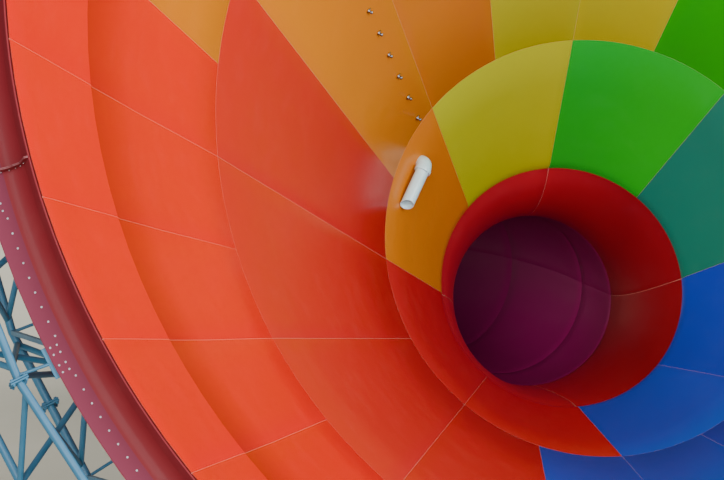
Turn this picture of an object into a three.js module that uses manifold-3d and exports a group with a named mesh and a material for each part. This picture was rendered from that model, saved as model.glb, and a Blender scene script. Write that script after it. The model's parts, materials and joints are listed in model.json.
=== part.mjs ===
// A giant funnel water slide: a leaning cone of bolted fibreglass panels with a rolled lip,
// a curved exit tunnel, spray and jet pipes, and the tubular steel that carries it to the ground.
// Millimetres. +Z is up, and the open mouth faces -Y. The origin is on the ground, under the
// middle of the box that holds the slide.
import * as THREE from "three";
import { mergeVertices } from "three/addons/utils/BufferGeometryUtils.js";
import Module from "manifold-3d";

const wasm = await Module();
wasm.setup();
const { Manifold } = wasm;

// The funnel. Depth is measured along its axis, back from the rim.
const MOUTH_RADIUS = 9150;
const MOUTH_HEIGHT = 11740;
const AXIS_RISE_DEG = 30;
const THROAT_RADIUS = 1770;
const THROAT_DEPTH = 14675;
const CONE_SLOPE = 0.512;
const LIP_SEAM_DEPTH = 160;
const CREASE_DEPTH = 2280;
const CREASE_RADIUS = 8060;
const OUTER_SEAM_DEPTH = 6160;
const MIDDLE_SEAM_DEPTH = 12210;

// Fibreglass laminate and the bolting flanges moulded on the panels' edges.
const SKIN = 18;
const FLANGE_HEIGHT = 100;
const FLANGE_THICKNESS = 12;
const FLANGE_FILLET = 2;
const CRADLE_FLANGE_HEIGHT = 240;
const GAP = 0.3;

// Round the axis: panel lines lie on steps of 22.5 degrees, counted clockwise from the left as
// seen from the mouth, so 4 is the top, 8 the right side and 12 the bottom.
const STEPS = 16;
const STEP = (2 * Math.PI) / STEPS;
const BOTTOM_STEP = 12;
const ROUND_SIDES = 32;
const SECTORS = 8;
const THROAT_FIRST_STEP = 0;
const MIDDLE_FIRST_STEP = 1;
const OUTER_FIRST_STEP = 0.5;
const LIP_FIRST_STEP = 1.575;
const MIDDLE_RIBS = 16;
const OUTER_RIBS = 16;

// The lip: a hooked edge that turns outward and back into a bolted flange.
const LIP_NOSE_RADIUS = 40;
const LIP_FLANGE_DEPTH = 396;
const LIP_FLANGE_INNER = 9480;
const LIP_FLANGE_OUTER = 9680;
const LIP_SKIN = 16;
const LIP_CURVE_SIDES = 2;

// The exit: a bell that narrows the throat to the tunnel, and a tunnel that levels out and
// turns to the left. Lengths are measured along its middle line.
const TUNNEL_RADIUS = 1250;
const TUNNEL_WALL = 14;
const TUNNEL_JOINTS = [2165, 3300, 5000, 7800];
const FIRST_CRADLE_JOINT = 2;
const BELL_STATIONS = 4;
const TUNNEL_STATION_LENGTH = 1000;
const HALF_SIDES = 8;
const LEVELLING_LENGTH = 3500;
const END_FALL_DEG = 4;
const TURN_DEG_PER_METRE = 10;

// The space truss round the mouth has one chord in front, one near the shell and two behind.
const TRUSS_BAYS = 32;
const FRONT_CHORD = { radius: 10070, depth: 560, shift: 0 };
const REAR_CHORD = { radius: 9530, depth: 3000, shift: 0.25 };
const OUTER_CHORD = { radius: 10450, depth: 1600, shift: 0.25 };
const INNER_CHORD = { radius: 9170, depth: 2200, shift: 0 };
const CHORD_SIZE = 105;
const WEB_SIZE = 74;
const STRUT_SIZE = 45;
const WEB_SIDES = 3;
const WEB_SPREAD = 0.04;
const TRUSS_PARTS = 4;
const TRUSS_FIRST_STEP = 2.9;
const BRACKET_WIDTH = 360;
const BRACKET_INNER = 9490;
const BRACKET_OUTER = 9725;
const BRACKET_THICKNESS = 16;
const SPLICE_SIZE = 230;
const SPLICE_THICKNESS = 32;

// Cradles and columns.
const CRADLE_DEPTH = 120;
const CRADLE_HEIGHT = 130;
const COLUMN_INSET = 90;
const COLUMN_SIZE = 180;
const BRACE_SIZE = 90;
const FRONT_COLUMN_STEPS = [0.75, 1.75, 2.75, 3.75];
const MIDDLE_COLUMN_STEPS = [1, 3];
const THROAT_COLUMN_STEPS = [1.25];
const TUNNEL_COLUMN_STEP = 0.3;
const RING_PLATE = 20;
const SEAT_SIZE = 300;
const SEAT_THICKNESS = 24;
const SEAT_DROP = 620;
const STUB_SIZE = 150;
const FOOT_SIZE = 460;
const FOOT_THICKNESS = 28;
const BRACE_LEVEL = 700;

// Water supply.
const JET_RADIUS = 95;
const JET_SIDES = 10;
const JET_WALL = 10;
const JET_STEPS = 11;
const JET_TAIL = [2940, 1.565, 13190];
const JET_CORNER = [2668, 1.45, 12628];
const JET_OUTLET = [2723, 0.816, 12580];
const SPRAY_STEP = 1.75;
const SPRAY_COUNT = 10;
const SPRAY_FIRST_DEPTH = 12053;
const SPRAY_PITCH = 511;
const SPRAY_BAR_RADIUS = 45;
const SPRAY_BAR_STANDOFF = 200;
const NOZZLE_RADIUS = 24;
const NOZZLE_REACH = 70;
const NOZZLE_SIDES = 6;
const ROUND_BAR_SIDES = 8;

const COLOURS = {
  red: 0xd63c1c,
  orange: 0xdb8316,
  yellow: 0xd3c40a,
  green: 0x2fa52b,
  teal: 0x08806a,
  blue: 0x1254ad,
  darkBlue: 0x1f4a9c,
  maroon: 0x9c3036,
  tunnelRed: 0x7d1018,
  steel: 0x6fa3bd,
  pipe: 0xe6eaea,
  spray: 0x8b8f92,
};
const SECTOR_COLOURS = ["orange", "yellow", "green", "teal", "blue", "darkBlue", "red", "red"];

const funnel = new THREE.Group();
funnel.position.set(0, 0, MOUTH_HEIGHT);
funnel.rotation.x = Math.PI / 2 - THREE.MathUtils.degToRad(AXIS_RISE_DEG);
funnel.updateMatrixWorld(true);
const slide = new THREE.Group();
slide.add(funnel);
const level = new THREE.Matrix4();

// Closed meshes become solids that can be joined and cut.
function solidOf(geometry, frame = level) {
  const bare = new THREE.BufferGeometry();
  bare.setAttribute("position", geometry.getAttribute("position").clone());
  if (geometry.index) bare.setIndex(geometry.index);
  const merged = mergeVertices(bare.applyMatrix4(frame), 1e-2);
  return new Manifold(
    new wasm.Mesh({
      numProp: 3,
      vertProperties: merged.getAttribute("position").array,
      triVerts: new Uint32Array(merged.index.array),
    }),
  );
}

function joined(solids) {
  return solids.reduce((whole, solid) => whole.add(solid));
}

function addMesh(group, name, solid, colour, roughness, metalness = 0) {
  const mesh = solid.getMesh();
  const geometry = new THREE.BufferGeometry();
  geometry.setAttribute("position", new THREE.BufferAttribute(mesh.vertProperties, 3));
  geometry.setIndex(new THREE.BufferAttribute(mesh.triVerts, 1));
  geometry.computeVertexNormals();
  const finish = new THREE.MeshStandardMaterial({ color: COLOURS[colour], roughness, metalness });
  const piece = new THREE.Mesh(geometry, finish);
  piece.name = name;
  group.add(piece);
}

// Radius of the funnel's inside face at a depth behind the rim.
function innerRadius(depth) {
  const cone = (d) => THROAT_RADIUS + CONE_SLOPE * (THROAT_DEPTH - d);
  if (depth >= OUTER_SEAM_DEPTH) return cone(depth);
  const share = depth / CREASE_DEPTH;
  if (share < 1) return THREE.MathUtils.lerp(MOUTH_RADIUS, CREASE_RADIUS, share);
  const rest = (OUTER_SEAM_DEPTH - depth) / (OUTER_SEAM_DEPTH - CREASE_DEPTH);
  return THREE.MathUtils.lerp(cone(OUTER_SEAM_DEPTH), CREASE_RADIUS, rest);
}

// A profile of radius and depth turned about the funnel's axis, starting from the bottom.
const turnOf = (step) => (BOTTOM_STEP - step) * STEP;

function turned(profile, sides = ROUND_SIDES, shift = 0) {
  const points = profile.map(([radius, depth]) => new THREE.Vector2(radius, -depth));
  if (THREE.ShapeUtils.area(points) < 0) points.reverse();
  points.push(points[0].clone());
  return new THREE.LatheGeometry(points, sides).rotateX(Math.PI / 2).rotateZ(-shift * STEP);
}

function block(inner, outer, front, back) {
  return [[inner, front], [outer, front], [outer, back], [inner, back]];
}

// A point at a radius, a step round the axis and a depth, in the funnel's own frame.
function at(radius, step, depth) {
  const turn = turnOf(step);
  return new THREE.Vector3(radius * Math.sin(turn), -radius * Math.cos(turn), -depth);
}

// A line of radius and depth given a thickness on its outer side.
function thickened(line, thickness) {
  const points = line.map(([radius, depth]) => new THREE.Vector2(radius, depth));
  const normal = (a, b) => new THREE.Vector2(b.y - a.y, a.x - b.x).normalize();
  const outside = points.map((point, i) => {
    const before = normal(points[Math.max(i - 1, 0)], points[Math.max(i, 1)]);
    const last = points.length - 1;
    const after = normal(points[Math.min(i, last - 1)], points[Math.min(i + 1, last)]);
    const mitre = before.clone().add(after).normalize();
    const offset = mitre.clone().multiplyScalar(thickness / mitre.dot(after));
    return [point.x + offset.x, point.y + offset.y];
  });
  return [...line, ...outside.reverse()];
}

// A slice of cake between two steps, cut back by half the gap on each side.
function wedge(fromStep, toStep) {
  const reach = 4 * MOUTH_RADIUS;
  const half = ((toStep - fromStep) * STEP) / 2;
  const middle = turnOf((fromStep + toStep) / 2) - Math.PI / 2;
  const ray = (length, angle) =>
    new THREE.Vector2(length * Math.cos(angle), length * Math.sin(angle));
  const tip = ray(GAP / 2 / Math.sin(half), middle);
  const corners = [middle - half, middle + half].map((angle) => ray(reach, angle).add(tip));
  const cake = new THREE.ExtrudeGeometry(new THREE.Shape([tip, ...corners]), {
    depth: 2 * THROAT_DEPTH,
    bevelEnabled: false,
  });
  return cake.translate(0, 0, -1.5 * THROAT_DEPTH);
}

// A straight bar between two points, square in section unless told otherwise.
function bar(from, to, size, sides = 4) {
  const along = to.clone().sub(from);
  const rod = new THREE.CylinderGeometry(size / 2, size / 2, along.length(), sides);
  const turn = new THREE.Quaternion();
  turn.setFromUnitVectors(new THREE.Vector3(0, 1, 0), along.normalize());
  rod.applyQuaternion(turn);
  return solidOf(rod.translate(...from.clone().add(to).multiplyScalar(0.5)));
}

function plate(width, length, thickness, x, y, z) {
  return solidOf(new THREE.BoxGeometry(width, length, thickness).translate(x, y, z));
}

// One ring of panels: the skin, a flange near its front, one at its back and ribs between.
function panelRing(depths, ribCount, firstStep, frontFlange) {
  const front = depths[0] + GAP / 2;
  const back = depths.at(-1) - GAP / 2;
  const line = [front, ...depths.slice(1, -1), back].map((depth) => [innerRadius(depth), depth]);
  const raised = (height) => line.map(([radius, depth]) => [radius + height, depth]);
  const wall = (low, high) => [...raised(low), ...raised(high).reverse()];
  const endFlange = (depth, thickness, height) => {
    const foot = innerRadius(depth) + SKIN / 2;
    const profile = block(foot, foot + SKIN / 2 + height, depth, depth + thickness);
    return solidOf(turned(profile));
  };
  const blades = [];
  for (let i = 0; i < ribCount; i++) {
    const length = 1.2 * MOUTH_RADIUS;
    const blade = new THREE.BoxGeometry(2 * FLANGE_THICKNESS, length, 2 * THROAT_DEPTH);
    blade.translate(0, -length / 2, 0);
    blades.push(solidOf(blade.rotateZ(turnOf(firstStep + (i * STEPS) / ribCount))));
  }
  const ribs = solidOf(turned(wall(SKIN / 2, SKIN + FLANGE_HEIGHT))).intersect(joined(blades));
  return joined([
    solidOf(turned(wall(0, SKIN))),
    ribs,
    endFlange(front + frontFlange.inset, FLANGE_THICKNESS, frontFlange.height),
    endFlange(back, -FLANGE_THICKNESS, FLANGE_HEIGHT),
  ]);
}

// Rings are cut into sectors that follow the change of colour.
function addSectors(ring, prefix, firstStep, colours, holes = null) {
  const width = STEPS / SECTORS;
  for (let i = 0; i < SECTORS; i++) {
    const from = firstStep + i * width;
    let sector = ring.intersect(solidOf(wedge(from, from + width)));
    if (holes && i === 0) sector = sector.subtract(holes);
    addMesh(funnel, `${prefix}_${i + 1}`, sector, colours[i], 0.25);
  }
}

function addPanels(sprayHoles, jetHole) {
  const bracketInset = LIP_FLANGE_DEPTH + LIP_SKIN + GAP / 2 - LIP_SEAM_DEPTH;
  const bracketDepth = LIP_SEAM_DEPTH + bracketInset;
  const outerFlange = {
    inset: bracketInset,
    height: LIP_FLANGE_OUTER - innerRadius(bracketDepth) - SKIN,
  };
  const outerDepths = [LIP_SEAM_DEPTH, CREASE_DEPTH, OUTER_SEAM_DEPTH];
  const outerRing = panelRing(outerDepths, OUTER_RIBS, OUTER_FIRST_STEP, outerFlange);
  addSectors(outerRing, "outer_panels", OUTER_FIRST_STEP, SECTOR_COLOURS);

  const cradleFlange = { inset: 0, height: CRADLE_FLANGE_HEIGHT };
  const middleDepths = [OUTER_SEAM_DEPTH, MIDDLE_SEAM_DEPTH];
  const middleRing = panelRing(middleDepths, MIDDLE_RIBS, MIDDLE_FIRST_STEP, cradleFlange);
  addSectors(middleRing, "middle_panels", MIDDLE_FIRST_STEP, SECTOR_COLOURS, sprayHoles);

  const throatDepths = [MIDDLE_SEAM_DEPTH, THROAT_DEPTH];
  const throatRing = panelRing(throatDepths, SECTORS, THROAT_FIRST_STEP, cradleFlange);
  addSectors(throatRing, "throat_panel", THROAT_FIRST_STEP, SECTOR_COLOURS, jetHole);
}

function addLip() {
  const nose = LIP_NOSE_RADIUS;
  const seam = LIP_SEAM_DEPTH - GAP / 2;
  const arc = new THREE.Path();
  arc.moveTo(innerRadius(seam), seam);
  arc.absarc(MOUTH_RADIUS + nose, nose, nose, Math.PI, 2 * Math.PI, false);
  arc.lineTo(MOUTH_RADIUS + 2.2 * nose, 0.45 * LIP_FLANGE_DEPTH);
  const coveMiddle = [MOUTH_RADIUS + 3.2 * nose, LIP_FLANGE_DEPTH];
  arc.quadraticCurveTo(...coveMiddle, LIP_FLANGE_INNER, LIP_FLANGE_DEPTH);
  arc.lineTo(LIP_FLANGE_OUTER, LIP_FLANGE_DEPTH);
  const line = arc.getPoints(LIP_CURVE_SIDES).map((point) => [point.x, point.y]);
  const hook = solidOf(turned(thickened(line, -LIP_SKIN)));
  addSectors(hook, "lip", LIP_FIRST_STEP, Array(SECTORS).fill("maroon"));
}

// The tunnel's middle line, walked in short strides from the throat, in the world's frame.
function tunnelFrame(distance) {
  const stride = 50;
  const middle = at(0, BOTTOM_STEP, THROAT_DEPTH).applyMatrix4(funnel.matrixWorld);
  const heading = (travelled) => {
    const levelled = Math.min(travelled / LEVELLING_LENGTH, 1);
    const fall = THREE.MathUtils.lerp(AXIS_RISE_DEG, END_FALL_DEG, levelled);
    const turn = (Math.max(travelled - TUNNEL_JOINTS[0], 0) / 1000) * TURN_DEG_PER_METRE;
    return new THREE.Euler(
      THREE.MathUtils.degToRad(90 - fall),
      0,
      THREE.MathUtils.degToRad(turn),
      "ZYX",
    );
  };
  const back = new THREE.Vector3();
  for (let travelled = 0; travelled < distance; travelled += stride) {
    const length = Math.min(stride, distance - travelled);
    middle.add(back.set(0, 0, -length).applyEuler(heading(travelled + length / 2)));
  }
  const turn = new THREE.Matrix4().makeRotationFromEuler(heading(distance));
  return turn.setPosition(middle);
}

function tunnelRadius(distance) {
  const rest = Math.max(1 - distance / TUNNEL_JOINTS[0], 0);
  return TUNNEL_RADIUS + (THROAT_RADIUS - TUNNEL_RADIUS) * rest * rest;
}

// One moulding of the exit, with a flange standing up along each of its four edges.
function exitShell(ends, stations, fromStep, toStep, sides) {
  const slack = GAP / 2 / (TUNNEL_RADIUS * STEP);
  const [left, right] = [fromStep + slack, toStep - slack];
  const steps = Array.from({ length: sides + 1 }, (_, i) => left + ((right - left) * i) / sides);
  const inFrom = (radius, step, next, distance) => {
    const corner = at(radius, step, 0);
    return corner.lerp(at(radius, next, 0), distance / corner.distanceTo(at(radius, next, 0)));
  };
  const foot = FLANGE_THICKNESS + FLANGE_FILLET;
  const section = (distance, depth, standing) => {
    const inner = tunnelRadius(distance);
    const tall = inner + TUNNEL_WALL + FLANGE_HEIGHT;
    const low = standing ? tall : inner + TUNNEL_WALL;
    const outline = [
      ...steps.map((step) => at(inner, step, 0)),
      at(tall, right, 0),
      inFrom(tall, right, steps.at(-2), FLANGE_THICKNESS),
      inFrom(low, right, steps.at(-2), foot),
      ...steps.slice(1, -1).reverse().map((step) => at(low, step, 0)),
      inFrom(low, left, steps[1], foot),
      inFrom(tall, left, steps[1], FLANGE_THICKNESS),
      at(tall, left, 0),
    ];
    return [outline.map((point) => point.setZ(-depth)), tunnelFrame(distance)];
  };
  const [start, end] = ends;
  const edge = start.setback + GAP / 2;
  const farEdge = -end.setback - GAP / 2;
  const between = Array.from({ length: stations - 1 }, (_, i) =>
    THREE.MathUtils.lerp(start.joint, end.joint, (i + 1) / stations));
  return lofted([
    section(start.joint, edge, true),
    section(start.joint, edge + FLANGE_THICKNESS, true),
    section(start.joint, edge + foot, false),
    ...between.map((distance) => section(distance, 0, false)),
    section(end.joint, farEdge - foot, false),
    section(end.joint, farEdge - FLANGE_THICKNESS, true),
    section(end.joint, farEdge, true),
  ]);
}

// A closed solid through a row of flat sections with the same number of corners.
function lofted(sections) {
  const points = sections.flatMap(([section, frame]) =>
    section.map((point) => point.clone().applyMatrix4(frame)));
  const around = sections[0][0].length;
  const faces = [];
  for (let ring = 0; ring + 1 < sections.length; ring++) {
    for (let i = 0; i < around; i++) {
      const [a, b] = [ring * around + i, ring * around + ((i + 1) % around)];
      faces.push(a, b + around, b, a, a + around, b + around);
    }
  }
  const last = (sections.length - 1) * around;
  const caps = [[sections[0][0], 0, [0, 1, 2]], [sections.at(-1)[0], last, [0, 2, 1]]];
  for (const [section, first, order] of caps) {
    const outline = section.map(({ x, y }) => new THREE.Vector2(x, y));
    for (const face of THREE.ShapeUtils.triangulateShape(outline, [])) {
      faces.push(...order.map((corner) => first + face[corner]));
    }
  }
  const geometry = new THREE.BufferGeometry().setFromPoints(points);
  geometry.setIndex(faces);
  return solidOf(geometry);
}

function addExit() {
  const quarter = STEPS / 4;
  const joints = TUNNEL_JOINTS.map((joint, i) => {
    const setback = i < FIRST_CRADLE_JOINT ? 0 : RING_PLATE / 2;
    return { joint, setback };
  });
  const bell = [{ joint: 0, setback: 0 }, joints[0]];
  for (let i = 0; i < 4; i++) {
    const from = i * quarter;
    const shell = exitShell(bell, BELL_STATIONS, from, from + quarter, HALF_SIDES / 2);
    addMesh(slide, `exit_bell_${i + 1}`, shell, "tunnelRed", 0.3);
  }
  for (let i = 0; i + 1 < joints.length; i++) {
    const ends = [joints[i], joints[i + 1]];
    const length = joints[i + 1].joint - joints[i].joint;
    const stations = Math.round(length / TUNNEL_STATION_LENGTH);
    const upper = exitShell(ends, stations, 0, STEPS / 2, HALF_SIDES);
    const lower = exitShell(ends, stations, STEPS / 2, STEPS, HALF_SIDES);
    addMesh(slide, `tunnel_${i + 1}_upper`, upper, "tunnelRed", 0.3);
    addMesh(slide, `tunnel_${i + 1}_lower`, lower, "tunnelRed", 0.3);
  }
}

// Steelwork. Columns stand under a point of a chord or a hoop, each on its own foot.
function onFunnel(radius, step, depth) {
  return at(radius, step, depth).applyMatrix4(funnel.matrixWorld);
}

function foot(x, y) {
  return plate(FOOT_SIZE, FOOT_SIZE, FOOT_THICKNESS, x, y, FOOT_THICKNESS / 2);
}

function column(top) {
  const ground = new THREE.Vector3(top.x, top.y, FOOT_THICKNESS / 2);
  return joined([bar(ground, top, COLUMN_SIZE, ROUND_BAR_SIDES), foot(top.x, top.y)]);
}

function chord({ radius, depth, shift }) {
  const half = CHORD_SIZE / 2;
  const profile = block(radius - half, radius + half, depth - half, depth + half);
  return solidOf(turned(profile, TRUSS_BAYS, shift), funnel.matrixWorld);
}

function trussNode({ radius, depth, shift }, bay, aside = 0) {
  return onFunnel(radius, (bay * STEPS) / TRUSS_BAYS + shift + aside, depth);
}

// A plate bolted behind the lip's flange at each panel line, with a strut to the front chord.
function bracket(bay) {
  const step = (bay * STEPS) / TRUSS_BAYS;
  const front = LIP_FLANGE_DEPTH + LIP_SKIN + FLANGE_THICKNESS + 2 * GAP;
  const height = BRACKET_OUTER - BRACKET_INNER;
  const pad = new THREE.BoxGeometry(BRACKET_WIDTH, height, BRACKET_THICKNESS);
  pad.translate(0, -BRACKET_INNER - height / 2, -front - BRACKET_THICKNESS / 2);
  pad.rotateZ(turnOf(step));
  const tip = onFunnel(BRACKET_OUTER - BRACKET_THICKNESS, step, front + BRACKET_THICKNESS);
  const strut = bar(tip, trussNode(FRONT_CHORD, bay), STRUT_SIZE, WEB_SIDES);
  return joined([solidOf(pad, funnel.matrixWorld), strut]);
}

// Square splice plates where the ring is bolted together from its parts.
function splice({ radius, depth }, step) {
  const pad = new THREE.BoxGeometry(SPLICE_THICKNESS, SPLICE_SIZE, SPLICE_SIZE);
  pad.translate(0, -radius * Math.cos(STEP / 4), -depth).rotateZ(turnOf(step));
  return solidOf(pad, funnel.matrixWorld);
}

// A flat plate under a short stub, for a column to be bolted to.
function seat(node) {
  const bottom = node.clone().setZ(node.z - SEAT_DROP);
  const pad = plate(
    SEAT_SIZE,
    SEAT_SIZE,
    SEAT_THICKNESS,
    bottom.x,
    bottom.y,
    bottom.z + SEAT_THICKNESS / 2,
  );
  return joined([bar(node, bottom.setZ(bottom.z + SEAT_THICKNESS / 2), STUB_SIZE), pad]);
}

function mirrored(steps) {
  return [...steps.map((step) => STEPS - step), ...steps.map((step) => STEPS / 2 + step)];
}

function addTruss() {
  const chords = [FRONT_CHORD, INNER_CHORD, REAR_CHORD, OUTER_CHORD];
  const pieces = chords.map(chord);
  for (let bay = 0; bay < TRUSS_BAYS; bay++) {
    const web = (near, far, side) => {
      const ahead = trussNode(near, bay, side * WEB_SPREAD);
      const behind = trussNode(far, side > 0 ? bay : bay - 1, -side * WEB_SPREAD);
      return bar(ahead, behind, WEB_SIZE, WEB_SIDES);
    };
    pieces.push(web(FRONT_CHORD, OUTER_CHORD, 1), web(FRONT_CHORD, OUTER_CHORD, -1));
    pieces.push(web(FRONT_CHORD, REAR_CHORD, 1), web(INNER_CHORD, REAR_CHORD, -1));
    pieces.push(web(INNER_CHORD, OUTER_CHORD, 1));
    const tie = [trussNode(FRONT_CHORD, bay), trussNode(INNER_CHORD, bay)];
    pieces.push(bar(...tie, WEB_SIZE, WEB_SIDES));
    pieces.push(bracket(bay));
  }
  for (const step of mirrored(FRONT_COLUMN_STEPS)) {
    pieces.push(seat(onFunnel(OUTER_CHORD.radius, step, OUTER_CHORD.depth)));
  }
  const width = STEPS / TRUSS_PARTS;
  for (let i = 0; i < TRUSS_PARTS; i++) {
    for (const member of chords) pieces.push(splice(member, TRUSS_FIRST_STEP + i * width));
  }
  const ring = joined(pieces);
  for (let i = 0; i < TRUSS_PARTS; i++) {
    const from = TRUSS_FIRST_STEP + i * width;
    const part = ring.intersect(solidOf(wedge(from, from + width), funnel.matrixWorld));
    addMesh(slide, `ring_truss_${i + 1}`, part, "steel", 0.45);
  }
}

// Columns of the front ring on one side, tied together and braced.
function addFrontColumns(name, steps) {
  const drop = SEAT_DROP + GAP + SEAT_THICKNESS / 2;
  const tops = steps.map((step) => {
    const node = onFunnel(OUTER_CHORD.radius, step, OUTER_CHORD.depth);
    return node.setZ(node.z - drop);
  });
  const pieces = [];
  tops.forEach((top, i) => {
    pieces.push(column(top));
    pieces.push(plate(SEAT_SIZE, SEAT_SIZE, SEAT_THICKNESS, top.x, top.y, top.z));
    if (i === 0) return;
    const before = tops[i - 1];
    const low = Math.min(BRACE_LEVEL, top.z / 2);
    pieces.push(bar(before.clone().setZ(low), top.clone().setZ(low), BRACE_SIZE));
    pieces.push(bar(before.clone().setZ(low), top.clone().setZ(top.z - SEAT_SIZE), BRACE_SIZE));
  });
  addMesh(slide, name, joined(pieces), "steel", 0.45);
}

// A hoop bolted behind a tall flange, welded to the columns that carry it.
function addCradle(name, frame, inner, depth, steps) {
  const profile = block(inner, inner + CRADLE_HEIGHT, depth, depth + CRADLE_DEPTH);
  const pieces = [solidOf(turned(profile, TRUSS_BAYS), frame)];
  const radius = inner + CRADLE_HEIGHT / 2;
  const feet = mirrored(steps).map((step) => {
    const top = at(radius, step, depth + COLUMN_INSET).applyMatrix4(frame);
    pieces.push(column(top));
    return top.setZ(BRACE_LEVEL);
  });
  const half = feet.length / 2;
  for (let i = 0; i < half; i++) {
    pieces.push(bar(feet[i], feet[i + half], BRACE_SIZE));
    if (i > 0) {
      pieces.push(bar(feet[i - 1], feet[i], BRACE_SIZE));
      pieces.push(bar(feet[i + half - 1], feet[i + half], BRACE_SIZE));
    }
  }
  addMesh(slide, name, joined(pieces), "steel", 0.45);
}

// A ring plate clamped between the flanges of a tunnel joint, on a column at each side.
function addTunnelCradle(index, joint) {
  const frame = tunnelFrame(joint);
  const outer = TUNNEL_RADIUS + TUNNEL_WALL + FLANGE_HEIGHT + CRADLE_HEIGHT;
  const half = RING_PLATE / 2;
  const ring = turned(block(TUNNEL_RADIUS, outer, -half, half), 2 * HALF_SIDES);
  const pieces = [solidOf(ring, frame)];
  const feet = mirrored([TUNNEL_COLUMN_STEP]).map((step) => {
    const top = at(outer, step, 0).applyMatrix4(frame);
    pieces.push(column(top));
    return top.clone().setZ(BRACE_LEVEL);
  });
  pieces.push(bar(feet[0], feet[1], BRACE_SIZE));
  addMesh(slide, `tunnel_cradle_${index}`, joined(pieces), "steel", 0.45);
}

function addSteel() {
  addTruss();
  addFrontColumns("front_left_columns", mirrored(FRONT_COLUMN_STEPS).slice(0, 4));
  addFrontColumns("front_right_columns", mirrored(FRONT_COLUMN_STEPS).slice(4));
  const clear = SKIN + FLANGE_HEIGHT + 20;
  const world = funnel.matrixWorld;
  const cradles = [
    ["middle_cradle", OUTER_SEAM_DEPTH, MIDDLE_COLUMN_STEPS],
    ["throat_cradle", MIDDLE_SEAM_DEPTH, THROAT_COLUMN_STEPS],
  ];
  for (const [name, seam, steps] of cradles) {
    const depth = seam + FLANGE_THICKNESS + 1.5 * GAP;
    addCradle(name, world, innerRadius(seam) + clear, depth, steps);
  }
  const cradled = TUNNEL_JOINTS.slice(FIRST_CRADLE_JOINT);
  cradled.forEach((joint, i) => addTunnelCradle(i + 1, joint));
}

// Water pipes. The jet pipe comes in through the throat's wall from behind and turns to lie
// along it, so its route is two straight lines with a rounded corner between them.
function jetPipe(radius, wall) {
  const [tail, corner, outlet] = [JET_TAIL, JET_CORNER, JET_OUTLET].map((place) => at(...place));
  const route = [tail];
  route.push(corner.clone().lerp(tail, 0.6));
  route.push(corner.clone().lerp(tail, 0.2));
  route.push(corner.clone().lerp(outlet, 0.2));
  route.push(corner.clone().lerp(outlet, 0.6));
  route.push(outlet);
  const section = new THREE.Shape();
  section.absarc(0, 0, radius, 0, 2 * Math.PI);
  if (wall > 0) {
    const bore = new THREE.Path();
    bore.absarc(0, 0, radius - wall, 0, 2 * Math.PI);
    section.holes.push(bore);
  }
  const extrudePath = new THREE.CatmullRomCurve3(route);
  const curveSegments = JET_SIDES / 2;
  return solidOf(new THREE.ExtrudeGeometry(section, { steps: JET_STEPS, curveSegments, extrudePath }));
}

function sprayPoint(depth, standoff) {
  return at(innerRadius(depth) + standoff, SPRAY_STEP, depth);
}

function nozzles(radius) {
  const rods = [];
  for (let i = 0; i < SPRAY_COUNT; i++) {
    const depth = SPRAY_FIRST_DEPTH - i * SPRAY_PITCH;
    const tip = sprayPoint(depth, -NOZZLE_REACH);
    rods.push(bar(sprayPoint(depth, SPRAY_BAR_STANDOFF), tip, 2 * radius, NOZZLE_SIDES));
  }
  return rods;
}

function sprayBar() {
  const start = sprayPoint(SPRAY_FIRST_DEPTH + SPRAY_BAR_RADIUS, SPRAY_BAR_STANDOFF);
  const end = sprayPoint(SPRAY_FIRST_DEPTH - (SPRAY_COUNT - 0.5) * SPRAY_PITCH, SPRAY_BAR_STANDOFF);
  return bar(start, end, 2 * SPRAY_BAR_RADIUS, ROUND_BAR_SIDES);
}

function addWater() {
  addMesh(funnel, "jet_pipe", jetPipe(JET_RADIUS, JET_WALL), "pipe", 0.35);
  addMesh(funnel, "spray_bar", joined([sprayBar(), ...nozzles(NOZZLE_RADIUS)]), "spray", 0.4);
}

addPanels(joined(nozzles(NOZZLE_RADIUS + GAP)), jetPipe(JET_RADIUS + GAP, 0));
addLip();
addExit();
addSteel();
addWater();

const box = new THREE.Box3().setFromObject(slide, true);
slide.position.y = -(box.min.y + box.max.y) / 2;

export default slide;
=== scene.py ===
# %% [markdown]
# # A funnel water slide
#
# The slide is a leaning cone of bolted fibreglass panels, 18 metres across its mouth. A ring truss
# holds its rim, hoops and columns hold its back, and a tunnel leads out of its throat. The packed
# CAD model gives every place and size, so the first cell loads it.

# %% Load the frame
import bmesh
import bpy
import json
import math
from mathutils import Matrix, Vector

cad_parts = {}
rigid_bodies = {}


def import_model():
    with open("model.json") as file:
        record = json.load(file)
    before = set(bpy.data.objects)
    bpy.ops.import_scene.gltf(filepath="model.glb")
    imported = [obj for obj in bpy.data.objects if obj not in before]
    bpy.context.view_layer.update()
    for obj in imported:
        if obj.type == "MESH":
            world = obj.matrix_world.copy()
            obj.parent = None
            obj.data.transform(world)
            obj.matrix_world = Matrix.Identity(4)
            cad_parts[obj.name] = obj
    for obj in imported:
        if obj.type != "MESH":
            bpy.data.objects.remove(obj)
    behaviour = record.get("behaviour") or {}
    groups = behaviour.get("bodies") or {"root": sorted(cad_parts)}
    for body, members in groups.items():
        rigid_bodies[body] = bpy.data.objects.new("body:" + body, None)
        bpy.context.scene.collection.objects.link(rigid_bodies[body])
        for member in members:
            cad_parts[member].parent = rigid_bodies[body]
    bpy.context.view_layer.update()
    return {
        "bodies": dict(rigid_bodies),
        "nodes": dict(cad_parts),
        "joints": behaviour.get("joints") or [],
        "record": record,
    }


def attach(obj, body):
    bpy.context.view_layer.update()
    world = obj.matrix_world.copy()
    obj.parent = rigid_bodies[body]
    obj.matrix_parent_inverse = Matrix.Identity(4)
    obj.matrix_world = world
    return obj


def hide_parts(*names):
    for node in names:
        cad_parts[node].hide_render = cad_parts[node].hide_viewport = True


scene = bpy.context.scene
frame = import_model()

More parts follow.
